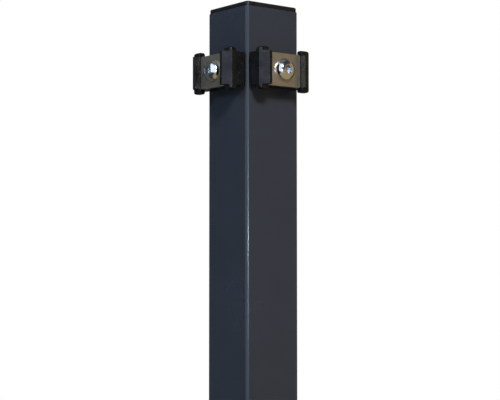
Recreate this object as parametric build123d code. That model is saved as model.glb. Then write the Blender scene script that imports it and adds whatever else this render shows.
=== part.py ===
from build123d import *

import os

# Corner post of a welded-mesh fence: a square steel tube closed by a plug cap, with moulded
# panel clamps on two adjacent faces at two heights. Millimetres, Z up. The tube's axis is the
# Z axis and its foot is at Z = 0. Clamps stand on the faces that look to -Y and to -X.

# Tube
POST_WIDTH = 40.0
POST_WALL = 2.0
POST_CORNER = 2.6
POST_LENGTH = 1000.0
BORE_CORNER = 1.0
CUT_EDGE = 0.3

# Plug cap
CAP_INSET = 0.5
CAP_THICKNESS = 2.8
CAP_CORNER = 2.2
CAP_EDGE = 0.9
CAP_EDGE_AT_TUBE = 0.3
SPIGOT_DEPTH = 15.0
SPIGOT_WALL = 1.6
SPIGOT_CLEARANCE = 0.6
SPIGOT_FINS = 3
FIN_THICKNESS = 0.9
FIN_CLEARANCE = 0.05
FIRST_FIN_DROP = 2.2

# Clamp places
UPPER_CLAMP_DROP = 38.6
CLAMP_SPACING = 500.0

# Moulded holder: a block with a channel down its front, between two lips that stand taller
HOLDER_SIDE_GAP = 0.75
HOLDER_HEIGHT = 20.0
HOLDER_DEPTH = 15.0
HOLDER_BACK_ROUND = 1.6
LIP_BEVEL = 4.4
LIP_LAND = 2.1
CHANNEL_FLOOR = 8.0
CHEEK_HEIGHT = 25.4
CHEEK_BACK = 7.2
CHEEK_FRONT_DROP = 3.3
CHEEK_ROUND = 1.8
CHEEK_SLOPE = 2.2
CORE_WALL = 2.4
CORE_RIB = 1.6
BOSS_WIDTH = 18.0

# Clamp plate
PLATE_THICKNESS = 2.5
PLATE_SIDE_CLEARANCE = 0.15
PLATE_CORNER = 0.8

# Socket button-head screw M8
THREAD_DIAMETER = 8.0
SCREW_LENGTH = 20.0
HEAD_DIAMETER = 13.6
HEAD_HEIGHT = 4.4
HEAD_TOP_DIAMETER = 6.0
DOME_BULGE = 0.19
DOME_BANDS = 3
SOCKET_ACROSS_FLATS = 4.6
SOCKET_DEPTH = 2.6
SCREW_HOLE_CLEARANCE = 0.5
THREAD_CLEARANCE = 0.1

# Blind rivet nut with a hexagonal body, set in the tube's wall
NUT_ACROSS_FLATS = 11.0
NUT_FLANGE_DIAMETER = 14.0
NUT_FLANGE_THICKNESS = 1.5
NUT_SET_LENGTH = 13.0
NUT_COLLAR_ACROSS_FLATS = 13.0
NUT_COLLAR_LENGTH = 3.2
NUT_HOLE_CLEARANCE = 0.05
NUT_RECESS_CLEARANCE = 0.3

# Derived places
HALF_POST = POST_WIDTH / 2
BORE_WIDTH = POST_WIDTH - 2 * POST_WALL
HOLDER_WIDTH = POST_WIDTH - 2 * HOLDER_SIDE_GAP
CHANNEL_WIDTH = HOLDER_WIDTH - 2 * (LIP_BEVEL + LIP_LAND)
PLATE_WIDTH = CHANNEL_WIDTH - 2 * PLATE_SIDE_CLEARANCE
PLATE_FRONT = CHANNEL_FLOOR + PLATE_THICKNESS
LIP_SHOULDER = HOLDER_DEPTH - LIP_BEVEL
CHEEK_FRONT = HOLDER_DEPTH - CHEEK_FRONT_DROP
SCREW_HOLE_DIAMETER = THREAD_DIAMETER + 2 * SCREW_HOLE_CLEARANCE
UPPER_CLAMP_HEIGHT = POST_LENGTH - UPPER_CLAMP_DROP
CLAMP_HEIGHTS = {"upper": UPPER_CLAMP_HEIGHT, "lower": UPPER_CLAMP_HEIGHT - CLAMP_SPACING}
# A clamp is drawn on the face towards -Y and turned about the tube's axis to the other face.
CLAMP_TURNS = {"right": 0.0, "left": -90.0}


def on_face(piece, height, turn):
    """A piece drawn about the face's middle, with -Y outwards, set on one face of the tube."""
    return Rot(0, 0, turn) * Pos(0, -HALF_POST, height) * piece


def outwards(start, end, sketch):
    """A sketch about the screw's line, raised along it from one distance off the face to another."""
    plane = Plane(origin=(0, -start, 0), x_dir=(1, 0, 0), z_dir=(0, -1, 0))
    return extrude(plane * sketch, end - start)


def hexagon(across_flats):
    return RegularPolygon(across_flats / 2, 6, major_radius=False)


def lathed(outline):
    """A closed outline of (radius, distance off the face) points, turned about the screw's line."""
    profile = Plane.XY * make_face(Polyline(*[(r, -n) for r, n in outline], close=True))
    return revolve(profile, Axis.Y, 360)


def make_tube():
    outer = extrude(RectangleRounded(POST_WIDTH, POST_WIDTH, POST_CORNER), POST_LENGTH)
    bore = extrude(RectangleRounded(BORE_WIDTH, BORE_WIDTH, BORE_CORNER), POST_LENGTH)
    tube = outer - bore
    ends = tube.edges().group_by(Axis.Z)
    tube = chamfer(ends[0] + ends[-1], CUT_EDGE)
    hole = hexagon(NUT_ACROSS_FLATS + 2 * NUT_HOLE_CLEARANCE)
    for height in CLAMP_HEIGHTS.values():
        for turn in CLAMP_TURNS.values():
            tube -= on_face(outwards(-2 * POST_WALL, POST_WALL, hole), height, turn)
    return tube


def make_cap():
    head_width = POST_WIDTH - 2 * CAP_INSET
    head = extrude(RectangleRounded(head_width, head_width, CAP_CORNER), CAP_THICKNESS)
    head = fillet(head.faces().sort_by(Axis.Z)[-1].edges(), CAP_EDGE)
    head = chamfer(head.faces().sort_by(Axis.Z)[0].edges(), CAP_EDGE_AT_TUBE)
    spigot_width = BORE_WIDTH - 2 * SPIGOT_CLEARANCE
    hollow_width = spigot_width - 2 * SPIGOT_WALL
    spigot = extrude(RectangleRounded(spigot_width, spigot_width, BORE_CORNER), -SPIGOT_DEPTH)
    hollow = extrude(Rectangle(hollow_width, hollow_width), -SPIGOT_DEPTH)
    fin_width = BORE_WIDTH - 2 * FIN_CLEARANCE
    pitch = (SPIGOT_DEPTH - FIRST_FIN_DROP - FIN_THICKNESS) / (SPIGOT_FINS - 1)
    for count in range(SPIGOT_FINS):
        drop = FIRST_FIN_DROP + count * pitch
        fin = extrude(RectangleRounded(fin_width, fin_width, BORE_CORNER), -FIN_THICKNESS)
        spigot += Pos(0, 0, -drop) * fin
    return Pos(0, 0, POST_LENGTH) * (head + (spigot - hollow))


def make_holder():
    half = HOLDER_WIDTH / 2
    land = half - LIP_BEVEL
    cheek = land - LIP_LAND
    side = [(cheek, CHANNEL_FLOOR), (cheek, HOLDER_DEPTH), (land, HOLDER_DEPTH), (half, LIP_SHOULDER), (half, 0)]
    mirrored = [(-x, n) for x, n in reversed(side)]
    outline = make_face(Polyline(*[(x, -n) for x, n in side + mirrored], close=True))
    block = extrude(outline, HOLDER_HEIGHT / 2, both=True)
    tall_block = extrude(outline, CHEEK_HEIGHT / 2, both=True)
    back_edges = block.edges().filter_by(Axis.Z).group_by(Axis.Y)[-1]
    block = fillet(back_edges, HOLDER_BACK_ROUND)

    cheek_width = LIP_BEVEL + LIP_LAND
    for sign in (-1, 1):
        middle = sign * (half - cheek_width / 2)
        cheek_box = outwards(CHEEK_BACK, CHEEK_FRONT, Pos(middle, 0) * Rectangle(cheek_width, CHEEK_HEIGHT))
        cheek_box = fillet(cheek_box.edges().filter_by(Axis.X).group_by(Axis.Y)[0], CHEEK_ROUND)
        cheek_box = chamfer(cheek_box.edges().filter_by(Axis.X).group_by(Axis.Y)[-1], CHEEK_SLOPE)
        block += cheek_box & tall_block

    core_depth = CHANNEL_FLOOR - CORE_WALL
    core_width = HOLDER_WIDTH - 2 * CORE_WALL
    core_height = HOLDER_HEIGHT - 2 * CORE_WALL
    core = Rectangle(core_width, core_height) - Rectangle(BOSS_WIDTH, core_height)
    core -= Rectangle(core_width, CORE_RIB)
    block -= outwards(0, core_depth, core)

    block -= outwards(0, CHANNEL_FLOOR, Circle(SCREW_HOLE_DIAMETER / 2))
    recess = NUT_FLANGE_DIAMETER + 2 * NUT_RECESS_CLEARANCE
    return block - outwards(0, NUT_FLANGE_THICKNESS, Rectangle(recess, recess))


def make_plate():
    sketch = RectangleRounded(PLATE_WIDTH, HOLDER_HEIGHT, PLATE_CORNER)
    plate = outwards(CHANNEL_FLOOR, PLATE_FRONT, sketch)
    return plate - outwards(CHANNEL_FLOOR, PLATE_FRONT, Circle(SCREW_HOLE_DIAMETER / 2))


def make_screw():
    rim = Vector(HEAD_DIAMETER / 2, PLATE_FRONT)
    top = Vector(HEAD_TOP_DIAMETER / 2, PLATE_FRONT + HEAD_HEIGHT)
    slope = top - rim
    crown = (rim + top) / 2 + Vector(slope.Y, -slope.X) * DOME_BULGE
    dome = ThreePointArc(rim, crown, top)
    bands = [dome @ (step / DOME_BANDS) for step in range(DOME_BANDS + 1)]
    head = lathed([(0, rim.Y)] + [(p.X, p.Y) for p in bands] + [(0, top.Y)])
    head -= outwards(top.Y - SOCKET_DEPTH, top.Y, Rot(0, 0, 30) * hexagon(SOCKET_ACROSS_FLATS))

    radius = THREAD_DIAMETER / 2 - THREAD_CLEARANCE
    tip = PLATE_FRONT - SCREW_LENGTH
    return head + outwards(tip, PLATE_FRONT, Circle(radius))


def make_rivet_nut():
    body = outwards(-NUT_SET_LENGTH, 0, hexagon(NUT_ACROSS_FLATS))
    collar_end = -(POST_WALL + NUT_COLLAR_LENGTH)
    collar = outwards(collar_end, -POST_WALL, hexagon(NUT_COLLAR_ACROSS_FLATS))
    slope = (NUT_COLLAR_ACROSS_FLATS - NUT_ACROSS_FLATS) / 2
    collar = chamfer(collar.faces().sort_by(Axis.Y)[-1].edges(), slope)
    flange = outwards(0, NUT_FLANGE_THICKNESS, Circle(NUT_FLANGE_DIAMETER / 2))
    bore = outwards(-NUT_SET_LENGTH, NUT_FLANGE_THICKNESS, Circle(THREAD_DIAMETER / 2))
    return body + collar + flange - bore


def write_part():
    os.makedirs("parts", exist_ok=True)
    export_step(make_tube(), "parts/post_tube.step")
    export_step(make_cap(), "parts/top_cap.step")
    clamp_pieces = {
        "holder": make_holder(),
        "clamp_plate": make_plate(),
        "clamp_screw": make_screw(),
        "rivet_nut": make_rivet_nut(),
    }
    for level, height in CLAMP_HEIGHTS.items():
        for side, turn in CLAMP_TURNS.items():
            for name, piece in clamp_pieces.items():
                placed = on_face(piece, height, turn)
                export_step(placed, f"parts/{level}_{side}_{name}.step")


write_part()
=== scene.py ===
import math

import bmesh
import bpy
from bpy.props import FloatProperty, FloatVectorProperty, IntProperty, PointerProperty
from mathutils import Matrix, Vector


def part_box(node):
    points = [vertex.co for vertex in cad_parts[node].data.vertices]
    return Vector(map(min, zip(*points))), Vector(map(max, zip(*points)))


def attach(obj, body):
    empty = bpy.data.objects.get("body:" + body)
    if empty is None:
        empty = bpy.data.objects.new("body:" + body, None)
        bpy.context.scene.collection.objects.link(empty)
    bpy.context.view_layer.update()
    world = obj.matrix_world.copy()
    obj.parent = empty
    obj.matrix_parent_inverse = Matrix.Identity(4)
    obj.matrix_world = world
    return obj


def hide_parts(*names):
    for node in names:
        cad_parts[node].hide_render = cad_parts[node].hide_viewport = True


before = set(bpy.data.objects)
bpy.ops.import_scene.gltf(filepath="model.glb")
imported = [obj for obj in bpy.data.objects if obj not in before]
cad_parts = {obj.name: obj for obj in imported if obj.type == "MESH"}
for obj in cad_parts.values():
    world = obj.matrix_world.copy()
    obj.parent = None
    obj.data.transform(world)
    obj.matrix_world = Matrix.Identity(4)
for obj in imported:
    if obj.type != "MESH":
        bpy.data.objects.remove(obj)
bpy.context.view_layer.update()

bl_info = {
    "name": "Fence post",
    "version": (1, 0, 0),
    "blender": (4, 5, 0),
    "location": "View3D > Sidebar > Fence post",
    "description": "Corner post of a mesh fence: coated tube, plug cap and moulded panel clamps",
    "category": "Add Mesh",
}

MM = 0.001
POST_LOW, POST_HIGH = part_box("post_tube")
POST_WIDTH = POST_HIGH.x - POST_LOW.x
POST_LENGTH = POST_HIGH.z
LEVELS = ("upper", "lower")
# Each face that carries clamps, and how far a clamp drawn on the face towards -Y is turned to it.
SIDE_TURNS = {"right": 0.0, "left": math.radians(-90.0)}
CLAMPS = [(level, side) for level in LEVELS for side in SIDE_TURNS]

# How close, in metres, corners are that count as in one place, as on a plane, and that are joined.
NEAR = 1e-6
ON_PLANE = 1e-7
JOIN_DISTANCE = 5e-6
# Decimals of a metre to which a corner's place is rounded.
GRID_DIGITS = 7
# A face looks a way when the cosine between that way and its normal is above this.
ALIGNED = 0.999
FLAT_ANGLE = math.radians(0.5)
HOLE_STEPS = 48


def clamp_height(level):
    low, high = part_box(f"{level}_right_holder")
    return (low.z + high.z) / 2


def clamp_place(level, side):
    """Carries a piece drawn about a face's middle, with -Y outwards, to its place on the post."""
    outwards = Matrix.Translation((0, -POST_WIDTH / 2, clamp_height(level)))
    return Matrix.Rotation(SIDE_TURNS[side], 4, "Z") @ outwards


def size_of(node):
    low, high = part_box(node)
    return high - low


def millimetres(default, name, description):
    return FloatProperty(name=name, description=description, default=default * MM, min=0.0, precision=5,
                         subtype="DISTANCE", unit="LENGTH")


def paint(default, name, description):
    return FloatVectorProperty(name=name, description=description, default=default, size=3, min=0, max=1,
                               subtype="COLOR")


def plain(default, name, description):
    return FloatProperty(name=name, description=description, default=default, min=0.0, precision=4)


class PostSettings(bpy.types.PropertyGroup):
    wall: millimetres(2.0, "Wall", "Thickness of the tube's wall")
    corner: millimetres(2.6, "Corner", "Outer radius of the tube's corners")
    bore_corner: millimetres(1.0, "Bore corner", "Inner radius of the tube's corners")
    cut_edge: millimetres(0.3, "Cut edge", "Break on the sawn ends")
    nut_hole: millimetres(11.1, "Nut hole", "Distance across the flats of each nut hole")
    corner_steps: IntProperty(name="Corner steps", description="Faces round each corner", default=14, min=3)
    coat: paint((0.0335, 0.0395, 0.052), "Coat", "Colour of the powder coat")
    coat_roughness: plain(0.24, "Coat roughness", "How much the powder coat scatters a reflection")
    zinc: paint((0.42, 0.43, 0.44), "Zinc", "Colour of the bare zinc inside the tube")


class CapSettings(bpy.types.PropertyGroup):
    thickness: millimetres(2.8, "Thickness", "Height of the cap above the tube")
    corner: millimetres(2.2, "Corner", "Radius of the cap's upright corners")
    edge: millimetres(0.9, "Edge", "Rounding of the cap's top edge")
    under_edge: millimetres(0.3, "Under edge", "Break of the cap's lower edge")
    spigot_clearance: millimetres(0.6, "Spigot clearance", "Room between the spigot and the bore")
    bore_corner: millimetres(1.0, "Bore corner", "Radius of the spigot's and the fins' corners")
    spigot_wall: millimetres(1.6, "Spigot wall", "Thickness of the spigot's wall")
    fins: IntProperty(name="Fins", description="Rings round the spigot that grip the bore", default=3, min=2)
    fin_thickness: millimetres(0.9, "Fin thickness", "Height of each fin")
    fin_clearance: millimetres(0.05, "Fin clearance", "Room between a fin and the bore")
    first_fin: millimetres(2.2, "First fin", "Depth of the first fin below the tube's edge")
    plastic: paint((0.008, 0.008, 0.009), "Plastic", "Colour of the cap")


class HolderSettings(bpy.types.PropertyGroup):
    height: millimetres(20.0, "Block height", "Height of the block between the cheeks")
    lip_bevel: millimetres(4.4, "Lip bevel", "Width of the slanted face on each lip")
    lip_land: millimetres(2.1, "Lip land", "Width of the flat top of each lip")
    floor: millimetres(8.0, "Channel floor", "Distance of the channel's floor from the tube")
    cheek_back: millimetres(7.2, "Cheek back", "Distance of the tall cheeks' back from the tube")
    cheek_front_drop: millimetres(3.3, "Cheek front drop", "How far the cheeks stay behind the lips' tops")
    cheek_round: millimetres(1.8, "Cheek round", "Rounding at the cheeks' front corners")
    cheek_slope: millimetres(2.2, "Cheek slope", "Bevel at the cheeks' back corners")
    cheek_crown: millimetres(2.2, "Cheek crown", "Rounding of the cheeks' outer corners from the front")
    back_round: millimetres(1.6, "Back round", "Rounding of the upright edges next to the tube")
    edge: millimetres(0.2, "Moulded edge", "Rounding of the block's other edges")
    core_wall: millimetres(2.4, "Core wall", "Wall left round the pockets in the back")
    core_rib: millimetres(1.6, "Core rib", "Rib left across the pockets in the back")
    boss_width: millimetres(18.0, "Boss width", "Solid width left round the screw")
    screw_hole: millimetres(9.0, "Screw hole", "Diameter of the screw's hole")
    recess: millimetres(14.6, "Recess", "Width of the recess for the nut's flange")
    recess_depth: millimetres(1.5, "Recess depth", "Depth of the recess for the nut's flange")
    plastic: paint((0.006, 0.006, 0.0064), "Plastic", "Colour of the moulded holders")


class PlateSettings(bpy.types.PropertyGroup):
    corner: millimetres(0.8, "Corner", "Radius of the plate's corners")
    edge: millimetres(0.25, "Edge", "Break of the plate's front edge")
    hole: millimetres(9.0, "Hole", "Diameter of the screw's hole")
    steel: paint((0.40, 0.365, 0.30), "Steel", "Colour of the clamp plates")


class ScrewSettings(bpy.types.PropertyGroup):
    head_diameter: millimetres(13.6, "Head diameter", "Diameter of the button head")
    head_height: millimetres(4.4, "Head height", "Height of the button head")
    head_top: millimetres(6.0, "Head top", "Diameter of the flat on the head")
    rim: millimetres(0.35, "Rim", "Rounding of the head's rim")
    bulge: plain(0.19, "Bulge", "Height of the dome's arc over its chord, as a share of the chord")
    socket: millimetres(4.6, "Socket", "Distance across the flats of the hexagon socket")
    socket_depth: millimetres(2.6, "Socket depth", "Depth of the hexagon socket")
    socket_chamfer: millimetres(0.15, "Socket chamfer", "Chamfer round the mouth of the socket")
    thread: millimetres(7.8, "Thread", "Outer diameter of the thread")
    pitch: millimetres(1.25, "Pitch", "Distance between two turns of the thread")
    thread_depth: millimetres(0.62, "Thread depth", "Depth of the thread")
    steps: IntProperty(name="Steps", description="Faces round the screw, a multiple of six", default=60,
                       min=12)
    steel: paint((0.68, 0.68, 0.67), "Steel", "Colour of the bright steel screws")
    # Darker and bluer than the head's steel: this colour paints shade into the socket's recess.
    socket_painted_shade_steel: paint((0.38, 0.40, 0.44), "Socket steel", "Colour of the steel inside the socket")


class NutSettings(bpy.types.PropertyGroup):
    steel: paint((0.55, 0.53, 0.46), "Steel", "Colour of the zinc-plated rivet nuts")


class StageSettings(bpy.types.PropertyGroup):
    camera_distance: FloatProperty(name="Distance", default=0.7253, unit="LENGTH",
                                   description="Level distance from the post's front corner")
    camera_turn: FloatProperty(name="Turn", description="Angle of the view off the face towards -Y",
                               default=math.radians(37.91), subtype="ANGLE")
    camera_side: millimetres(1.70, "Side step", "How far the camera stands to the right of the corner")
    camera_drop: FloatProperty(name="Drop", description="Height of the camera under the tube's top",
                               default=0.14657, unit="LENGTH")
    camera_pitch: FloatProperty(name="Pitch", description="Upward tilt of the camera",
                                default=math.radians(2.35), subtype="ANGLE")
    focal: plain(1224.56, "Focal length", "Focal length in pixels of a picture 500 wide")
    floor_colour: paint((0.80, 0.76, 0.70), "Floor", "Colour of the floor")


SETTINGS = {
    "fence_post_tube": PostSettings,
    "fence_post_cap": CapSettings,
    "fence_post_holder": HolderSettings,
    "fence_post_plate": PlateSettings,
    "fence_post_screw": ScrewSettings,
    "fence_post_nut": NutSettings,
    "fence_post_stage": StageSettings,
}


# Mesh helpers

def rounded_square(bm, width, depth, corner, steps, z=0.0):
    """A flat face with round corners, centred on the Z axis at height z."""
    before = set(bm.faces)
    made = bmesh.ops.create_grid(bm, x_segments=1, y_segments=1, size=0.5)
    bmesh.ops.transform(bm, matrix=Matrix.Translation((0, 0, z)) @ Matrix.Diagonal((width, depth, 1, 1)),
                        verts=made["verts"])
    bmesh.ops.bevel(bm, geom=made["verts"], offset=corner, segments=steps, profile=0.5, affect="VERTICES",
                    material=-1)
    return next(f for f in bm.faces if f not in before)


def extend(bm, faces, vector):
    """Extrudes faces along a vector and leaves the first ones in their place."""
    grown = bmesh.ops.extrude_face_region(bm, geom=faces)
    verts = [v for v in grown["geom"] if isinstance(v, bmesh.types.BMVert)]
    bmesh.ops.translate(bm, verts=verts, vec=vector)


def lift(bm, faces, vector):
    """Extrudes faces along a vector and takes the first ones away."""
    extend(bm, faces, vector)
    bmesh.ops.delete(bm, geom=[f for f in faces if f.is_valid], context="FACES")


def snap(bm):
    """Puts each corner on a grid of a tenth of a micrometre, which takes out rounding errors."""
    for vert in bm.verts:
        vert.co = [round(value, GRID_DIGITS) for value in vert.co]


def cut_planes(bm, axis, places):
    """Divides the mesh along planes square to one axis."""
    normal = Vector((0, 0, 0))
    normal[axis] = 1
    for place in places:
        geometry = bm.verts[:] + bm.edges[:] + bm.faces[:]
        bmesh.ops.bisect_plane(bm, geom=geometry, plane_co=normal * place, plane_no=normal, dist=ON_PLANE)
    snap(bm)


def faces_in(bm, low, high, normal):
    """Faces that look along a normal and have their middle inside a box."""
    wanted = Vector(normal)
    found = []
    for face in bm.faces:
        middle = face.calc_center_bounds()
        inside = all(low[i] - ON_PLANE <= middle[i] <= high[i] + ON_PLANE for i in range(3))
        if inside and face.normal.dot(wanted) > ALIGNED:
            found.append(face)
    return found


def round_edges(bm, edges, radius, steps):
    if edges:
        bmesh.ops.bevel(bm, geom=edges, offset=radius, offset_type="OFFSET", segments=steps, profile=0.5,
                        affect="EDGES", material=-1, clamp_overlap=True)


def in_fixed_order(bm):
    """The same shape, with its corners and faces in an order that depends only on where they are."""
    verts = sorted((v for v in bm.verts if v.link_faces), key=lambda v: tuple(v.co))
    number = {vert: index for index, vert in enumerate(verts)}
    faces = []
    for face in bm.faces:
        ring = [number[vert] for vert in face.verts]
        first = ring.index(min(ring))
        faces.append((ring[first:] + ring[:first], face.material_index))
    ordered = bmesh.new()
    corners = [ordered.verts.new(vert.co) for vert in verts]
    for ring, material in sorted(faces):
        ordered.faces.new([corners[index] for index in ring]).material_index = material
    ordered.normal_update()
    bm.free()
    return ordered


def finished(bm, name, materials, matrix=None):
    """Turns a bmesh into a linked object whose place is in its mesh."""
    bmesh.ops.recalc_face_normals(bm, faces=bm.faces[:])
    if matrix is not None:
        bmesh.ops.transform(bm, matrix=matrix, verts=bm.verts[:])
    bm = in_fixed_order(bm)
    mesh = bpy.data.meshes.new(name)
    bm.to_mesh(mesh)
    bm.free()
    for material in materials:
        mesh.materials.append(material)
    piece = bpy.data.objects.new(name, mesh)
    bpy.context.scene.collection.objects.link(piece)
    return piece


def soften_edges(piece, name, width, steps, angle):
    """Rounds a piece's edges where its faces meet at more than an angle in degrees."""
    bevel = piece.modifiers.new(name, "BEVEL")
    bevel.width = width
    bevel.segments = steps
    bevel.limit_method = "ANGLE"
    bevel.angle_limit = math.radians(angle)
    return bevel


def even_normals(piece, sharp_from=None):
    """Keeps broad faces flat in the light and lets only the rounded edges turn."""
    piece.data.shade_smooth()
    if sharp_from is not None:
        piece.data.set_sharp_from_angle(angle=math.radians(sharp_from))
    normals = piece.modifiers.new("even_normals", "WEIGHTED_NORMAL")
    normals.mode = "FACE_AREA"
    normals.weight = 50
    normals.keep_sharp = True


def stand_for(piece, node):
    """Puts a finished piece in the place of a node of the frame."""
    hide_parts(node)
    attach(piece, "root")


# Finishes

def new_group(name, inputs, outputs):
    tree = bpy.data.node_groups.new(name, "ShaderNodeTree")
    for label, kind, default in inputs:
        socket = tree.interface.new_socket(name=label, in_out="INPUT", socket_type=kind)
        socket.default_value = default
    for label, kind in outputs:
        tree.interface.new_socket(name=label, in_out="OUTPUT", socket_type=kind)
    return tree, tree.nodes.new("NodeGroupInput"), tree.nodes.new("NodeGroupOutput")


def noise(tree, vector, scale, detail, roughness=0.55):
    node = tree.nodes.new("ShaderNodeTexNoise")
    node.inputs["Detail"].default_value = detail
    node.inputs["Roughness"].default_value = roughness
    if isinstance(scale, float):
        node.inputs["Scale"].default_value = scale
    else:
        tree.links.new(scale, node.inputs["Scale"])
    tree.links.new(vector, node.inputs["Vector"])
    return node.outputs["Fac"]


def remap(tree, value, low, high, start, end):
    node = tree.nodes.new("ShaderNodeMapRange")
    tree.links.new(value, node.inputs["Value"])
    for label, number in (("From Min", low), ("From Max", high), ("To Min", start), ("To Max", end)):
        if isinstance(number, float):
            node.inputs[label].default_value = number
        else:
            tree.links.new(number, node.inputs[label])
    return node.outputs["Result"]


def maths(tree, kind, first, second):
    node = tree.nodes.new("ShaderNodeMath")
    node.operation = kind
    for place, value in enumerate((first, second)):
        if isinstance(value, float):
            node.inputs[place].default_value = value
        else:
            tree.links.new(value, node.inputs[place])
    return node.outputs[0]


def grain_group():
    """Fine surface grain: a height for bump, and a slow drift for roughness and tone."""
    tree, inside, outside = new_group(
        "surface_grain",
        [("Vector", "NodeSocketVector", (0, 0, 0)), ("Grain per metre", "NodeSocketFloat", 900.0),
         ("Drift per metre", "NodeSocketFloat", 30.0), ("Speck share", "NodeSocketFloat", 0.3)],
        [("Height", "NodeSocketFloat"), ("Drift", "NodeSocketFloat")])
    fine = noise(tree, inside.outputs["Vector"], inside.outputs["Grain per metre"], detail=2.0)
    coarse_scale = maths(tree, "MULTIPLY", inside.outputs["Grain per metre"], 0.31)
    coarse = noise(tree, inside.outputs["Vector"], coarse_scale, detail=2.0)
    specks = maths(tree, "MULTIPLY", fine, inside.outputs["Speck share"])
    tree.links.new(maths(tree, "ADD", coarse, specks), outside.inputs["Height"])
    drift = noise(tree, inside.outputs["Vector"], inside.outputs["Drift per metre"], detail=4.0)
    tree.links.new(remap(tree, drift, 0.3, 0.7, 0.0, 1.0), outside.inputs["Drift"])
    return tree


def tone_group():
    """A colour made a little lighter or darker by a mask."""
    tree, inside, outside = new_group(
        "tone_drift",
        [("Colour", "NodeSocketColor", (0.5, 0.5, 0.5, 1)), ("Mask", "NodeSocketFloat", 0.5),
         ("Darkest", "NodeSocketFloat", 0.9), ("Lightest", "NodeSocketFloat", 1.1)],
        [("Colour", "NodeSocketColor")])
    value = remap(tree, inside.outputs["Mask"], 0.0, 1.0, inside.outputs["Darkest"],
                  inside.outputs["Lightest"])
    hue = tree.nodes.new("ShaderNodeHueSaturation")
    tree.links.new(inside.outputs["Colour"], hue.inputs["Color"])
    tree.links.new(value, hue.inputs["Value"])
    tree.links.new(hue.outputs["Color"], outside.inputs["Colour"])
    return tree


def scratch_group():
    """Thin straight scratches that run along one axis, as a mask between 0 and 1."""
    tree, inside, outside = new_group(
        "rolling_lines",
        [("Vector", "NodeSocketVector", (0, 0, 0)), ("Lines per metre", "NodeSocketFloat", 5000.0),
         ("Length ratio", "NodeSocketFloat", 0.02)],
        [("Lines", "NodeSocketFloat")])
    parts = tree.nodes.new("ShaderNodeSeparateXYZ")
    tree.links.new(inside.outputs["Vector"], parts.inputs["Vector"])
    along = maths(tree, "MULTIPLY", parts.outputs["Z"], inside.outputs["Length ratio"])
    joined = tree.nodes.new("ShaderNodeCombineXYZ")
    tree.links.new(parts.outputs["X"], joined.inputs["X"])
    tree.links.new(parts.outputs["Y"], joined.inputs["Y"])
    tree.links.new(along, joined.inputs["Z"])
    lines = noise(tree, joined.outputs["Vector"], inside.outputs["Lines per metre"], detail=2.0,
                  roughness=0.6)
    tree.links.new(remap(tree, lines, 0.3, 0.7, 0.0, 1.0), outside.inputs["Lines"])
    return tree


def group(name, build):
    return bpy.data.node_groups.get(name) or build()


def start_material(name, roughness, metallic=0.0, specular=0.5):
    material = bpy.data.materials.new(name)
    material.use_nodes = True
    tree = material.node_tree
    shader = tree.nodes["Principled BSDF"]
    shader.inputs["Roughness"].default_value = roughness
    shader.inputs["Metallic"].default_value = metallic
    shader.inputs["Specular IOR Level"].default_value = specular
    place = tree.nodes.new("ShaderNodeTexCoord").outputs["Object"]
    return material, tree, shader, place


def use_group(tree, name, build, **values):
    node = tree.nodes.new("ShaderNodeGroup")
    node.node_tree = group(name, build)
    for label, value in values.items():
        socket = node.inputs[label.replace("_", " ")]
        if isinstance(value, (float, tuple)):
            socket.default_value = value
        else:
            tree.links.new(value, socket)
    return node


def add_grain(tree, place, grains, drifts, specks):
    """Surface grain with so many grains and drifts per metre and a share of specks."""
    return use_group(tree, "surface_grain", grain_group, Vector=place, Grain_per_metre=grains,
                     Drift_per_metre=drifts, Speck_share=specks)


def vary_roughness(tree, shader, mask, least, most):
    """Lets the roughness follow a mask."""
    tree.links.new(remap(tree, mask, 0.0, 1.0, least, most), shader.inputs["Roughness"])


def bump(tree, shader, height, strength, depth):
    """Raises the surface's grain by a depth in millimetres."""
    node = tree.nodes.new("ShaderNodeBump")
    node.inputs["Strength"].default_value = strength
    node.inputs["Distance"].default_value = depth * MM
    tree.links.new(height, node.inputs["Height"])
    tree.links.new(node.outputs["Normal"], shader.inputs["Normal"])


def drifting_colour(tree, shader, colour, mask, darkest, lightest):
    tone = use_group(tree, "tone_drift", tone_group, Colour=(*colour, 1.0), Mask=mask, Darkest=darkest,
                     Lightest=lightest)
    tree.links.new(tone.outputs["Colour"], shader.inputs["Base Color"])


def powder_coat(settings):
    """Smooth anthracite powder coat: faint orange peel and a slow drift in gloss."""
    material, tree, shader, place = start_material("anthracite_powder_coat", settings.coat_roughness,
                                                   specular=0.18)
    grain = add_grain(tree, place, 1500.0, 22.0, 0.35)
    drifting_colour(tree, shader, settings.coat, grain.outputs["Drift"], 0.94, 1.06)
    vary_roughness(tree, shader, grain.outputs["Drift"], settings.coat_roughness - 0.04,
                   settings.coat_roughness + 0.05)
    shader.inputs["Coat Weight"].default_value = 0.08
    shader.inputs["Coat Roughness"].default_value = 0.1
    bump(tree, shader, grain.outputs["Height"], 0.15, 0.06)
    return material


def bare_zinc(settings):
    """Dull zinc with a cloudy bloom, for the inside of the tube."""
    material, tree, shader, place = start_material("bare_zinc", 0.5, metallic=1.0)
    grain = add_grain(tree, place, 420.0, 90.0, 0.5)
    drifting_colour(tree, shader, settings.zinc, grain.outputs["Drift"], 0.8, 1.1)
    vary_roughness(tree, shader, grain.outputs["Drift"], 0.42, 0.62)
    bump(tree, shader, grain.outputs["Height"], 0.25, 0.06)
    return material


def moulded_plastic(name, colour, roughness, grain_scale):
    """Black moulded plastic: spark-eroded grain that breaks up the reflection."""
    material, tree, shader, place = start_material(name, roughness, specular=0.27)
    grain = add_grain(tree, place, grain_scale, 140.0, 0.6)
    drifting_colour(tree, shader, colour, grain.outputs["Drift"], 0.85, 1.2)
    vary_roughness(tree, shader, grain.outputs["Drift"], roughness - 0.1, roughness + 0.14)
    bump(tree, shader, grain.outputs["Height"], 0.15, 0.06)
    return material


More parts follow.
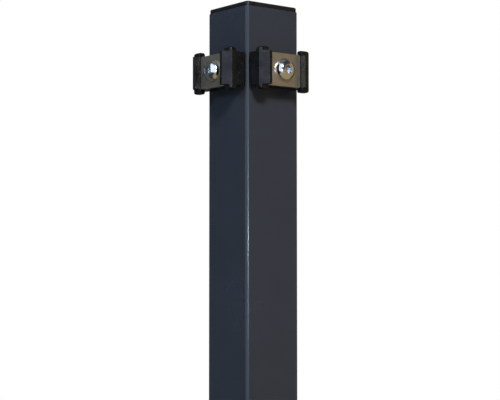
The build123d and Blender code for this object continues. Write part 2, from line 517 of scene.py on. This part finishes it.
def plate_steel(settings):
    """Cold-rolled plate: fine upright rolling lines and a slightly warm tone."""
    material, tree, shader, place = start_material("rolled_plate_steel", 0.34, metallic=0.9)
    lines = use_group(tree, "rolling_lines", scratch_group, Vector=place, Lines_per_metre=4200.0,
                      Length_ratio=0.04)
    grain = add_grain(tree, place, 1800.0, 160.0, 0.5)
    drifting_colour(tree, shader, settings.steel, grain.outputs["Drift"], 0.9, 1.08)
    vary_roughness(tree, shader, lines.outputs["Lines"], 0.3, 0.4)
    bump(tree, shader, lines.outputs["Lines"], 0.06, 0.03)
    return material


def bright_steel(name, colour, gloss, dull):
    """Stainless steel with faint handling marks, between a glossy and a dull roughness."""
    material, tree, shader, place = start_material(name, gloss, metallic=1.0)
    grain = add_grain(tree, place, 2600.0, 420.0, 0.5)
    drifting_colour(tree, shader, colour, grain.outputs["Drift"], 0.93, 1.05)
    vary_roughness(tree, shader, grain.outputs["Drift"], gloss, dull)
    bump(tree, shader, grain.outputs["Height"], 0.08, 0.02)
    return material


def plated_steel(settings):
    """Zinc-plated steel with a faint yellow bloom."""
    material, tree, shader, place = start_material("plated_nut_steel", 0.32, metallic=1.0)
    grain = add_grain(tree, place, 1500.0, 240.0, 0.5)
    drifting_colour(tree, shader, settings.steel, grain.outputs["Drift"], 0.85, 1.1)
    vary_roughness(tree, shader, grain.outputs["Drift"], 0.26, 0.42)
    bump(tree, shader, grain.outputs["Height"], 0.12, 0.03)
    return material


# Pieces

def square_ring(bm, width, corner, steps, z):
    """The corners of a rounded square, in order round the Z axis and with no face."""
    face = rounded_square(bm, width, width, corner, steps, z)
    ring = sorted(face.verts, key=lambda v: math.atan2(v.co.y, v.co.x))
    bmesh.ops.delete(bm, geom=[face], context="FACES_ONLY")
    return ring


def join_rings(bm, first, second):
    """Spans two rings that go round in step, and returns the new faces."""
    around = list(zip(first, second))
    return [bm.faces.new((a, b, d, c)) for (a, c), (b, d) in zip(around, around[1:] + around[:1])]


def open_ring(bm, y):
    """The corners of an open rim square to the screw's line, in their order round that line."""
    verts = {v for e in bm.edges if len(e.link_faces) == 1 for v in e.verts if abs(v.co.y - y) < NEAR}
    return sorted(verts, key=lambda v: math.atan2(v.co.z, v.co.x))


def hexagon_prism(across_flats, start, end, matrix):
    """A six-sided bar along the screw's line, as a cutting tool."""
    bm = bmesh.new()
    radius = across_flats / math.sqrt(3)
    middle = Matrix.Translation((0, -(start + end) / 2, 0))
    turn = Matrix.Rotation(math.radians(90), 4, "X") @ Matrix.Rotation(math.radians(30), 4, "Z")
    bmesh.ops.create_cone(bm, cap_ends=True, segments=6, radius1=radius, radius2=radius,
                          depth=abs(end - start), matrix=matrix @ middle @ turn)
    mesh = bpy.data.meshes.new("hexagon_tool")
    bm.to_mesh(mesh)
    bm.free()
    tool = bpy.data.objects.new("hexagon_tool", mesh)
    bpy.context.scene.collection.objects.link(tool)
    return tool


def cut_with(piece, tools):
    """Takes the tools' shapes out of a piece, and the tools out of the scene."""
    for tool in tools:
        modifier = piece.modifiers.new("cut", "BOOLEAN")
        modifier.operation = "DIFFERENCE"
        modifier.solver = "EXACT"
        modifier.object = tool
    graph = bpy.context.evaluated_depsgraph_get()
    cut = bpy.data.meshes.new_from_object(piece.evaluated_get(graph))
    old = piece.data
    piece.modifiers.clear()
    piece.data = cut
    cut.name = piece.name
    bpy.data.meshes.remove(old)
    for tool in tools:
        mesh = tool.data
        bpy.data.objects.remove(tool)
        bpy.data.meshes.remove(mesh)


def make_tube(settings):
    coat, zinc = powder_coat(settings), bare_zinc(settings)
    bm = bmesh.new()
    outer = square_ring(bm, POST_WIDTH, settings.corner, settings.corner_steps, 0.0)
    bore = square_ring(bm, POST_WIDTH - 2 * settings.wall, settings.bore_corner, settings.corner_steps, 0.0)
    extend(bm, join_rings(bm, outer, bore), (0, 0, POST_LENGTH))
    bmesh.ops.recalc_face_normals(bm, faces=bm.faces[:])
    sharp = math.radians(60)
    ends = [e for e in bm.edges if len(e.link_faces) == 2 and e.calc_face_angle(0) > sharp
            and abs(e.verts[0].co.z - e.verts[1].co.z) < NEAR]
    round_edges(bm, ends, settings.cut_edge, 2)
    half_bore = POST_WIDTH / 2 - settings.wall
    for face in bm.faces:
        middle = face.calc_center_median()
        inside = max(abs(middle.x), abs(middle.y)) < half_bore + 0.01 * MM
        face.material_index = 1 if inside and abs(face.normal.z) < 0.5 else 0
    piece = finished(bm, "coated_tube", [coat, zinc])
    tools = [hexagon_prism(settings.nut_hole, -2 * settings.wall, settings.wall, clamp_place(level, side))
             for level, side in CLAMPS]
    cut_with(piece, tools)
    even_normals(piece, 40)
    stand_for(piece, "post_tube")


def make_cap(settings):
    plastic = moulded_plastic("cap_plastic", settings.plastic, 0.4, 1600.0)
    low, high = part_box("top_cap")
    width = high.x - low.x
    seat = high.z - settings.thickness
    bore = POST_WIDTH - 2 * bpy.context.scene.fence_post_tube.wall
    spigot = bore - 2 * settings.spigot_clearance
    fin_width = bore - 2 * settings.fin_clearance
    hollow = spigot - 2 * settings.spigot_wall
    steps = 6
    fin_break, fin_taper, hollow_corner = 0.1 * MM, 0.3 * MM, 0.2 * MM
    bm = bmesh.new()
    pitch = (seat - low.z - settings.first_fin - settings.fin_thickness) / (settings.fins - 1)
    corner = settings.bore_corner
    outline = [(width, settings.corner, high.z), (width, settings.corner, seat), (spigot, corner, seat)]
    for count in range(settings.fins):
        fin_top = seat - settings.first_fin - count * pitch
        fin_foot = fin_top - settings.fin_thickness
        outline += [(spigot, corner, fin_top), (fin_width, corner, fin_top - fin_break),
                    (fin_width - fin_taper, corner, fin_foot)]
        if count < settings.fins - 1:
            outline.append((spigot, corner, fin_foot))
    outline += [(hollow, hollow_corner, low.z), (hollow, hollow_corner, seat)]
    rings = [square_ring(bm, size, bend, steps, z) for size, bend, z in outline]
    for first, second in zip(rings, rings[1:]):
        join_rings(bm, first, second)
    top = bm.faces.new(rings[0])
    bm.faces.new(rings[-1])
    bmesh.ops.recalc_face_normals(bm, faces=bm.faces[:])
    lower = [e for e in bm.edges if all(v in rings[1] for v in e.verts)]
    round_edges(bm, top.edges[:], settings.edge, 6)
    round_edges(bm, lower, settings.under_edge, 1)
    piece = finished(bm, "plug_cap", [plastic])
    even_normals(piece, 40)
    stand_for(piece, "top_cap")


def round_hole(bm, low, high, normal_sign, depth, radius):
    """Opens a round hole in the square patch of faces that lies in a box."""
    patch = faces_in(bm, low, high, (0, normal_sign, 0))
    patch = bmesh.ops.dissolve_faces(bm, faces=patch)["region"] if len(patch) > 1 else patch
    face = patch[0]
    bmesh.ops.subdivide_edges(bm, edges=face.edges[:], cuts=HOLE_STEPS // 4 - 1)
    bmesh.ops.inset_region(bm, faces=[face], thickness=0.5 * MM, depth=0.0)
    for vert in face.verts:
        flat = Vector((vert.co.x, 0, vert.co.z))
        flat.normalize()
        vert.co = Vector((flat.x * radius, -depth, flat.z * radius))
    bmesh.ops.delete(bm, geom=[face], context="FACES_ONLY")


def crown_cheeks(bm, settings, half, middle, tall):
    """Brings the cheeks' outer corners in along a quarter circle, at both ends."""
    radius = settings.cheek_crown
    start = half - radius
    angles = (0, 22, 42, 62)
    steps = [start + radius * math.sin(math.radians(angle)) for angle in angles]
    cut_planes(bm, 0, [sign * place for place in steps for sign in (-1, 1)])
    for vert in bm.verts:
        beyond = abs(vert.co.z) - middle
        across = min(abs(vert.co.x) - start, radius)
        if beyond > NEAR and across > 0:
            ceiling = tall - radius + math.sqrt(radius ** 2 - across ** 2)
            lowered = middle + beyond * (ceiling - middle) / (tall - middle)
            vert.co.z = math.copysign(lowered, vert.co.z)


def holder_mesh(settings):
    """One moulded holder, drawn on the middle of a face with -Y outwards."""
    size = size_of("upper_right_holder")
    half, depth, tall = size.x / 2, size.y, size.z / 2
    land = half - settings.lip_bevel
    cheek = land - settings.lip_land
    shoulder = depth - settings.lip_bevel
    cheek_front = depth - settings.cheek_front_drop
    middle = settings.height / 2
    bm = bmesh.new()
    side = [(cheek, settings.floor), (cheek, depth), (land, depth), (half, shoulder), (half, 0)]
    outline = side + [(-x, n) for x, n in reversed(side)]
    corners = [bm.verts.new((x, -n, -middle)) for x, n in outline]
    extend(bm, [bm.faces.new(corners)], (0, 0, settings.height))
    bmesh.ops.recalc_face_normals(bm, faces=bm.faces[:])

    back = [e for e in bm.edges
            if all(abs(v.co.y) < ON_PLANE and abs(abs(v.co.x) - half) < ON_PLANE for v in e.verts)]
    round_edges(bm, back, settings.back_round, 6)

    recess = settings.recess / 2
    core = half - settings.core_wall
    core_top = middle - settings.core_wall
    cut_planes(bm, 1, [-settings.cheek_back, -shoulder, -cheek_front])
    cut_planes(bm, 0, [-core, -settings.boss_width / 2, -recess, recess, settings.boss_width / 2, core,
                       -cheek, cheek])
    cut_planes(bm, 2, [-core_top, -recess, -settings.core_rib / 2, settings.core_rib / 2, recess, core_top])

    grow = tall - middle
    for z_sign in (-1, 1):
        for x_sign in (-1, 1):
            xs = sorted((x_sign * cheek, x_sign * half))
            low = (xs[0], -cheek_front, z_sign * middle - NEAR)
            high = (xs[1], -settings.cheek_back, z_sign * middle + NEAR)
            lift(bm, faces_in(bm, low, high, (0, 0, z_sign)), (0, 0, z_sign * grow))
    tips = [e for e in bm.edges if all(abs(abs(v.co.z) - tall) < NEAR for v in e.verts)]
    fronts = [e for e in tips if all(abs(v.co.y + cheek_front) < NEAR for v in e.verts)]
    backs = [e for e in tips if all(abs(v.co.y + settings.cheek_back) < NEAR for v in e.verts)]
    round_edges(bm, fronts, settings.cheek_round, 6)
    round_edges(bm, backs, settings.cheek_slope, 1)
    crown_cheeks(bm, settings, half, middle, tall)

    pocket = settings.floor - settings.core_wall
    for x_sign in (-1, 1):
        for z_sign in (-1, 1):
            xs = sorted((x_sign * settings.boss_width / 2, x_sign * core))
            zs = sorted((z_sign * settings.core_rib / 2, z_sign * core_top))
            low, high = (xs[0], -NEAR, zs[0]), (xs[1], NEAR, zs[1])
            lift(bm, faces_in(bm, low, high, (0, 1, 0)), (0, -pocket, 0))
    low, high = (-recess, -NEAR, -recess), (recess, NEAR, recess)
    lift(bm, faces_in(bm, low, high, (0, 1, 0)), (0, -settings.recess_depth, 0))

    radius = settings.screw_hole / 2
    for place, sign in ((settings.recess_depth, 1), (settings.floor, -1)):
        low, high = (-recess, -place - NEAR, -recess), (recess, -place + NEAR, recess)
        round_hole(bm, low, high, sign, place, radius)
    join_rings(bm, open_ring(bm, -settings.recess_depth), open_ring(bm, -settings.floor))
    bmesh.ops.recalc_face_normals(bm, faces=bm.faces[:])
    snap(bm)
    bm = in_fixed_order(bm)
    bmesh.ops.remove_doubles(bm, verts=bm.verts[:], dist=JOIN_DISTANCE)
    bmesh.ops.dissolve_limit(bm, angle_limit=FLAT_ANGLE, verts=bm.verts[:], edges=bm.edges[:])
    return bm


def make_holders(settings):
    plastic = moulded_plastic("holder_plastic", settings.plastic, 0.26, 1500.0)
    for level, side in CLAMPS:
        bm = holder_mesh(settings)
        piece = finished(bm, f"{level}_{side}_moulded_holder", [plastic], clamp_place(level, side))
        bevel = soften_edges(piece, "moulded_edges", settings.edge, 3, 35)
        bevel.use_clamp_overlap = False
        even_normals(piece)
        stand_for(piece, f"{level}_{side}_holder")


def make_plates(settings):
    steel = plate_steel(settings)
    size = size_of("upper_right_clamp_plate")
    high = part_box("upper_right_clamp_plate")[1]
    back = -(high.y + POST_WIDTH / 2)
    lay = Matrix.Translation((0, -back, 0)) @ Matrix.Rotation(math.radians(90), 4, "X")
    for level, side in CLAMPS:
        bm = bmesh.new()
        face = rounded_square(bm, size.x, size.z, settings.corner, 5)
        bmesh.ops.transform(bm, matrix=lay, verts=bm.verts[:])
        extend(bm, [face], (0, -size.y, 0))
        bmesh.ops.recalc_face_normals(bm, faces=bm.faces[:])
        piece = finished(bm, f"{level}_{side}_rolled_plate", [steel])
        tool_mesh = bmesh.new()
        radius = settings.hole / 2
        bmesh.ops.create_cone(tool_mesh, cap_ends=True, segments=HOLE_STEPS, radius1=radius,
                              radius2=radius, depth=3 * size.y,
                              matrix=Matrix.Translation((0, -back - size.y / 2, 0))
                              @ Matrix.Rotation(math.radians(90), 4, "X"))
        tool = finished(tool_mesh, "hole_tool", [])
        cut_with(piece, [tool])
        piece.data.transform(clamp_place(level, side))
        soften_edges(piece, "sheared_edges", settings.edge, 2, 40)
        even_normals(piece)
        stand_for(piece, f"{level}_{side}_clamp_plate")


def dome_outline(settings, seat):
    """Points of the head's outline from its rim to its flat top, as (radius, distance off the face)."""
    rim = Vector((settings.head_diameter / 2, seat))
    top = Vector((settings.head_top / 2, seat + settings.head_height))
    chord = top - rim
    outward = Vector((chord.y, -chord.x)).normalized()
    sag = chord.length * settings.bulge
    radius = (chord.length / 2) ** 2 / (2 * sag) + sag / 2
    centre = (rim + top) / 2 - outward * (radius - sag)
    start = math.atan2(rim.y - centre.y, rim.x - centre.x)
    end = math.atan2(top.y - centre.y, top.x - centre.x)
    count = 14
    angles = [start + (end - start) * i / count for i in range(count + 1)]
    return [centre + radius * Vector((math.cos(angle), math.sin(angle))) for angle in angles]


def hexagon_ring(bm, ring, across_half, y):
    """A ring in step with another one, laid along a hexagon whose corners point up and down."""
    made = []
    for vert in ring:
        angle = math.atan2(vert.co.z, vert.co.x)
        reach = across_half / math.cos((angle + math.pi / 6) % (math.pi / 3) - math.pi / 6)
        made.append(bm.verts.new((reach * math.cos(angle), y, reach * math.sin(angle))))
    return made


def screw_mesh(settings, seat, tip):
    """One button-head screw along -Y, with its hexagon socket and its thread."""
    bm = bmesh.new()
    steps = settings.steps
    root = settings.thread / 2 - settings.thread_depth
    crest = settings.thread / 2
    plain_turns = 1.5
    crest_end, root_start, root_end = 0.08, 0.46, 0.62
    neck = seat - plain_turns * settings.pitch
    under_rim = 0.6 * settings.rim
    outline = [(p.x, p.y) for p in reversed(dome_outline(settings, seat))]
    outline += [(outline[-1][0] - under_rim, seat), (crest, seat), (crest, neck)]
    turns = int((neck - tip - settings.thread_depth) / settings.pitch)
    for turn in range(turns):
        start = neck - turn * settings.pitch
        outline += [(crest, start - crest_end * settings.pitch), (root, start - root_start * settings.pitch),
                    (root, start - root_end * settings.pitch), (crest, start - settings.pitch)]
    outline += [(crest, tip + settings.thread_depth), (root, tip)]
    chain = [bm.verts.new((r, -n, 0)) for r, n in outline]
    edges = [bm.edges.new(pair) for pair in zip(chain, chain[1:])]
    bmesh.ops.spin(bm, geom=chain + edges, cent=(0, 0, 0), axis=(0, 1, 0), angle=math.tau, steps=steps,
                   use_merge=True)
    top = seat + settings.head_height
    bm.faces.new(open_ring(bm, -tip))
    rim = open_ring(bm, -top)
    flat = settings.socket / 2
    for across, drop in ((flat + settings.socket_chamfer, 0.0), (flat, settings.socket_chamfer),
                         (flat, settings.socket_depth)):
        ring = hexagon_ring(bm, rim, across, drop - top)
        join_rings(bm, rim, ring)
        rim = ring
    floor = bm.faces.new(rim)
    bmesh.ops.poke(bm, faces=[floor])
    bmesh.ops.recalc_face_normals(bm, faces=bm.faces[:])
    # Faces inside the socket take the darker steel that paints shade into the recess.
    reach = flat / math.cos(math.pi / 6)
    for face in bm.faces:
        middle = face.calc_center_median()
        inside = math.hypot(middle.x, middle.z) < reach and middle.y < settings.socket_depth - top + NEAR
        face.material_index = int(inside)
    return bm


def make_screws(settings):
    steel = bright_steel("bright_screw_steel", settings.steel, 0.08, 0.2)
    # The socket's rougher broached finish is real; its darker, bluer colour is painted shade in the recess.
    socket_painted_shade_steel = bright_steel("broached_socket_painted_shade", settings.socket_painted_shade_steel, 0.18, 0.32)
    low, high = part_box("upper_right_clamp_screw")
    top = -(low.y + POST_WIDTH / 2)
    tip = -(high.y + POST_WIDTH / 2)
    for level, side in CLAMPS:
        bm = screw_mesh(settings, top - settings.head_height, tip)
        piece = finished(bm, f"{level}_{side}_button_screw", [steel, socket_painted_shade_steel],
                         clamp_place(level, side))
        even_normals(piece, 42)
        stand_for(piece, f"{level}_{side}_clamp_screw")


def dress_nuts(settings):
    steel = plated_steel(settings)
    for level, side in CLAMPS:
        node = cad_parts[f"{level}_{side}_rivet_nut"]
        node.data.materials.clear()
        node.data.materials.append(steel)


# Stage

def face_towards(thing, target):
    direction = Vector(target) - thing.location
    thing.rotation_euler = direction.to_track_quat("-Z", "Y").to_euler()


def add_softbox(name, place, target, width, height, power, colour):
    lamp = bpy.data.lights.new(name, "AREA")
    lamp.shape = "RECTANGLE"
    lamp.size = width
    lamp.size_y = height
    lamp.energy = power
    lamp.color = colour
    box = bpy.data.objects.new(name, lamp)
    box.location = place
    bpy.context.scene.collection.objects.link(box)
    face_towards(box, target)
    return box


def fade(tree, value, start, end):
    """Rises smoothly from 0 to 1 while a value goes from start to end."""
    node = tree.nodes.new("ShaderNodeMapRange")
    node.interpolation_type = "SMOOTHSTEP"
    tree.links.new(value, node.inputs["Value"])
    node.inputs["From Min"].default_value = start
    node.inputs["From Max"].default_value = end
    return node.outputs["Result"]


def blend(tree, share, first, second):
    """Mixes two colours; each is a plain colour or a socket."""
    node = tree.nodes.new("ShaderNodeMix")
    node.data_type = "RGBA"
    tree.links.new(share, node.inputs[0])
    for place, colour in ((6, first), (7, second)):
        if isinstance(colour, tuple):
            node.inputs[place].default_value = (*colour, 1.0)
        else:
            tree.links.new(colour, node.inputs[place])
    return node.outputs[2]


def looks_at_background(tree):
    """1 for what the camera, a mirror or glass sees, 0 for the light that falls on the post."""
    rays = tree.nodes.new("ShaderNodeLightPath")
    seen = maths(tree, "MAXIMUM", rays.outputs["Is Camera Ray"], rays.outputs["Is Transmission Ray"])
    return maths(tree, "MAXIMUM", seen, rays.outputs["Is Glossy Ray"]), rays


def studio_walls(tree):
    """What the post reflects: a window on the left, dark near the camera, warm light on the right."""
    back_wall, dark_wall, warm_wall = (0.095, 0.1, 0.09), (0.045, 0.048, 0.055), (0.40, 0.31, 0.18)
    window, ceiling = (1.2, 1.42, 1.8), (0.18, 0.19, 0.21)
    direction = tree.nodes.new("ShaderNodeTexCoord").outputs["Generated"]
    parts = tree.nodes.new("ShaderNodeSeparateXYZ")
    tree.links.new(direction, parts.inputs["Vector"])
    left = maths(tree, "MULTIPLY", parts.outputs["X"], -1.0)
    front = maths(tree, "MULTIPLY", parts.outputs["Y"], -1.0)
    bearing = maths(tree, "ARCTAN2", left, front)
    height = parts.outputs["Z"]

    def between(start, end, soft):
        rise = fade(tree, bearing, math.radians(start - soft), math.radians(start + soft))
        fall = fade(tree, bearing, math.radians(end + soft), math.radians(end - soft))
        return maths(tree, "MULTIPLY", rise, fall)

    def crosses(value, edge, soft):
        return fade(tree, value, edge - soft, edge + soft)

    colour = blend(tree, between(-105.0, 128.0, 6.0), back_wall, dark_wall)
    diagonal = maths(tree, "ADD", bearing, maths(tree, "MULTIPLY", height, 2.07))
    warm = maths(tree, "MULTIPLY", crosses(diagonal, -0.045, -0.06), between(-105.0, 80.0, 6.0))
    colour = blend(tree, warm, colour, warm_wall)
    rise = fade(tree, bearing, math.radians(5.0), math.radians(70.0))
    sides = maths(tree, "MULTIPLY", rise, crosses(bearing, math.radians(117.0), math.radians(-6.0)))
    slanted = maths(tree, "SUBTRACT", height, maths(tree, "MULTIPLY", bearing, 0.29))
    ends = maths(tree, "MULTIPLY", crosses(slanted, -0.59, 0.05), crosses(height, 0.8, -0.1))
    colour = blend(tree, maths(tree, "MULTIPLY", sides, ends), colour, window)
    return blend(tree, crosses(height, 0.91, 0.06), colour, ceiling)


def build_world():
    """White to the camera and through glass, a graded studio in reflections, and plain where it lights."""
    world = bpy.data.worlds.new("studio")
    bpy.context.scene.world = world
    world.use_nodes = True
    tree = world.node_tree
    tree.nodes.clear()
    output = tree.nodes.new("ShaderNodeOutputWorld")
    seen, rays = looks_at_background(tree)
    shown = tree.nodes.new("ShaderNodeBackground")
    tree.links.new(blend(tree, rays.outputs["Is Glossy Ray"], (1.0, 1.0, 1.0), studio_walls(tree)),
                   shown.inputs["Color"])
    ambient = tree.nodes.new("ShaderNodeBackground")
    ambient.inputs["Color"].default_value = (0.78, 0.88, 1.0, 1)
    ambient.inputs["Strength"].default_value = 0.12
    mix = tree.nodes.new("ShaderNodeMixShader")
    tree.links.new(seen, mix.inputs["Fac"])
    tree.links.new(ambient.outputs[0], mix.inputs[1])
    tree.links.new(shown.outputs[0], mix.inputs[2])
    tree.links.new(mix.outputs[0], output.inputs["Surface"])


def build_floor(settings):
    """A pale floor that keeps the post's shadow and runs into the white background."""
    material, tree, shader, place = start_material("pale_floor", 0.8, specular=0.1)
    grain = add_grain(tree, place, 60.0, 0.8, 0.3)
    rays = tree.nodes.new("ShaderNodeLightPath")
    drifting_colour(tree, shader, settings.floor_colour, grain.outputs["Drift"], 0.99, 1.01)
    length = tree.nodes.new("ShaderNodeVectorMath")
    length.operation = "LENGTH"
    tree.links.new(place, length.inputs[0])
    near_edge, far_edge, least_white = 0.15, 1.9, 0.4
    far = fade(tree, length.outputs["Value"], near_edge, far_edge)
    share = maths(tree, "ADD", maths(tree, "MULTIPLY", far, 1.0 - least_white), least_white)
    white = tree.nodes.new("ShaderNodeEmission")
    mix = tree.nodes.new("ShaderNodeMixShader")
    tree.links.new(maths(tree, "MULTIPLY", share, rays.outputs["Is Camera Ray"]), mix.inputs["Fac"])
    tree.links.new(shader.outputs[0], mix.inputs[1])
    tree.links.new(white.outputs[0], mix.inputs[2])
    tree.links.new(mix.outputs[0], tree.nodes["Material Output"].inputs["Surface"])
    bm = bmesh.new()
    floor_steps, floor_radius = 96, 6.0
    bmesh.ops.create_circle(bm, cap_ends=True, segments=floor_steps, radius=floor_radius)
    floor = finished(bm, "studio_floor", [material])
    floor.visible_glossy = False


def build_lamps():
    head = (0, 0, POST_LENGTH - 0.1)
    middle = (0, 0, POST_LENGTH * 0.7)
    glint = add_softbox("lamp_front", (-0.824, -1.371, 0.88), head, 0.03, 0.05, 14.0, (0.78, 0.88, 1.0))
    glint.visible_diffuse = False
    add_softbox("key_above", (-0.75, -1.55, 1.95), head, 0.4, 0.4, 36.0, (1.0, 0.97, 0.97))
    fill = add_softbox("fill_left", (-1.9, -0.1, 1.75), middle, 0.5, 0.5, 13.0, (0.4, 0.68, 1.0))
    back = add_softbox("rim_behind", (1.3, 1.5, 1.8), middle, 1.0, 1.2, 14.0, (1.0, 1.0, 1.0))
    for lamp in (fill, back):
        lamp.visible_glossy = False


def build_camera(settings):
    """The camera stands level with the clamps' foot, off the front corner, and looks slightly up."""
    turn = settings.camera_turn
    ahead = Vector((math.sin(turn), math.cos(turn), 0))
    aside = Vector((math.cos(turn), -math.sin(turn), 0))
    corner = Vector((POST_LOW.x, POST_LOW.y, 0))
    lens = bpy.data.cameras.new("front_corner_view")
    picture_width = 500
    lens.sensor_width = 36.0
    lens.lens = settings.focal / picture_width * lens.sensor_width
    lens.clip_start = 0.01
    camera = bpy.data.objects.new("front_corner_view", lens)
    bpy.context.scene.collection.objects.link(camera)
    camera.location = corner - ahead * settings.camera_distance + aside * settings.camera_side
    camera.location.z = POST_LENGTH - settings.camera_drop
    camera.rotation_euler = (math.radians(90) + settings.camera_pitch, 0, -turn)
    bpy.context.scene.camera = camera


class TubeOperator(bpy.types.Operator):
    """Builds the coated square tube"""
    bl_idname = "fence_post.tube"
    bl_label = "Coated tube"

    def execute(self, context):
        make_tube(context.scene.fence_post_tube)
        return {"FINISHED"}


class CapOperator(bpy.types.Operator):
    """Builds the plug cap with its spigot and fins"""
    bl_idname = "fence_post.cap"
    bl_label = "Plug cap"

    def execute(self, context):
        make_cap(context.scene.fence_post_cap)
        return {"FINISHED"}


class HolderOperator(bpy.types.Operator):
    """Builds the moulded clamp holders"""
    bl_idname = "fence_post.holders"
    bl_label = "Moulded holders"

    def execute(self, context):
        make_holders(context.scene.fence_post_holder)
        return {"FINISHED"}


class PlateOperator(bpy.types.Operator):
    """Builds the steel clamp plates"""
    bl_idname = "fence_post.plates"
    bl_label = "Clamp plates"

    def execute(self, context):
        make_plates(context.scene.fence_post_plate)
        return {"FINISHED"}


class ScrewOperator(bpy.types.Operator):
    """Builds the button-head screws"""
    bl_idname = "fence_post.screws"
    bl_label = "Clamp screws"

    def execute(self, context):
        make_screws(context.scene.fence_post_screw)
        return {"FINISHED"}


class NutOperator(bpy.types.Operator):
    """Gives the rivet nuts their plated finish"""
    bl_idname = "fence_post.nuts"
    bl_label = "Rivet nuts"

    def execute(self, context):
        dress_nuts(context.scene.fence_post_nut)
        return {"FINISHED"}


class StageOperator(bpy.types.Operator):
    """Sets the floor, the lamps, the background and the camera"""
    bl_idname = "fence_post.stage"
    bl_label = "Stage"

    def execute(self, context):
        scene = context.scene
        scene.view_settings.view_transform = "Standard"
        build_world()
        build_floor(scene.fence_post_stage)
        build_lamps()
        build_camera(scene.fence_post_stage)
        return {"FINISHED"}


class FencePostPanel(bpy.types.Panel):
    """Lists the steps that dress the post"""
    bl_idname = "VIEW3D_PT_fence_post"
    bl_label = "Fence post"
    bl_space_type = "VIEW_3D"
    bl_region_type = "UI"
    bl_category = "Fence post"

    def draw(self, context):
        for operator in OPERATORS:
            self.layout.operator(operator.bl_idname)


OPERATORS = (StageOperator, TubeOperator, CapOperator, HolderOperator, PlateOperator, ScrewOperator,
             NutOperator)


def register():
    for name, settings in SETTINGS.items():
        bpy.utils.register_class(settings)
        setattr(bpy.types.Scene, name, PointerProperty(type=settings))
    for operator in OPERATORS:
        bpy.utils.register_class(operator)
    bpy.utils.register_class(FencePostPanel)


def unregister():
    bpy.utils.unregister_class(FencePostPanel)
    for operator in reversed(OPERATORS):
        bpy.utils.unregister_class(operator)
    for name, settings in SETTINGS.items():
        delattr(bpy.types.Scene, name)
        bpy.utils.unregister_class(settings)


def main():
    register()
    bpy.ops.fence_post.stage()
    bpy.ops.fence_post.tube()
    bpy.ops.fence_post.cap()
    bpy.ops.fence_post.holders()
    bpy.ops.fence_post.plates()
    bpy.ops.fence_post.screws()
    bpy.ops.fence_post.nuts()


if __name__ == "__main__":
    main()
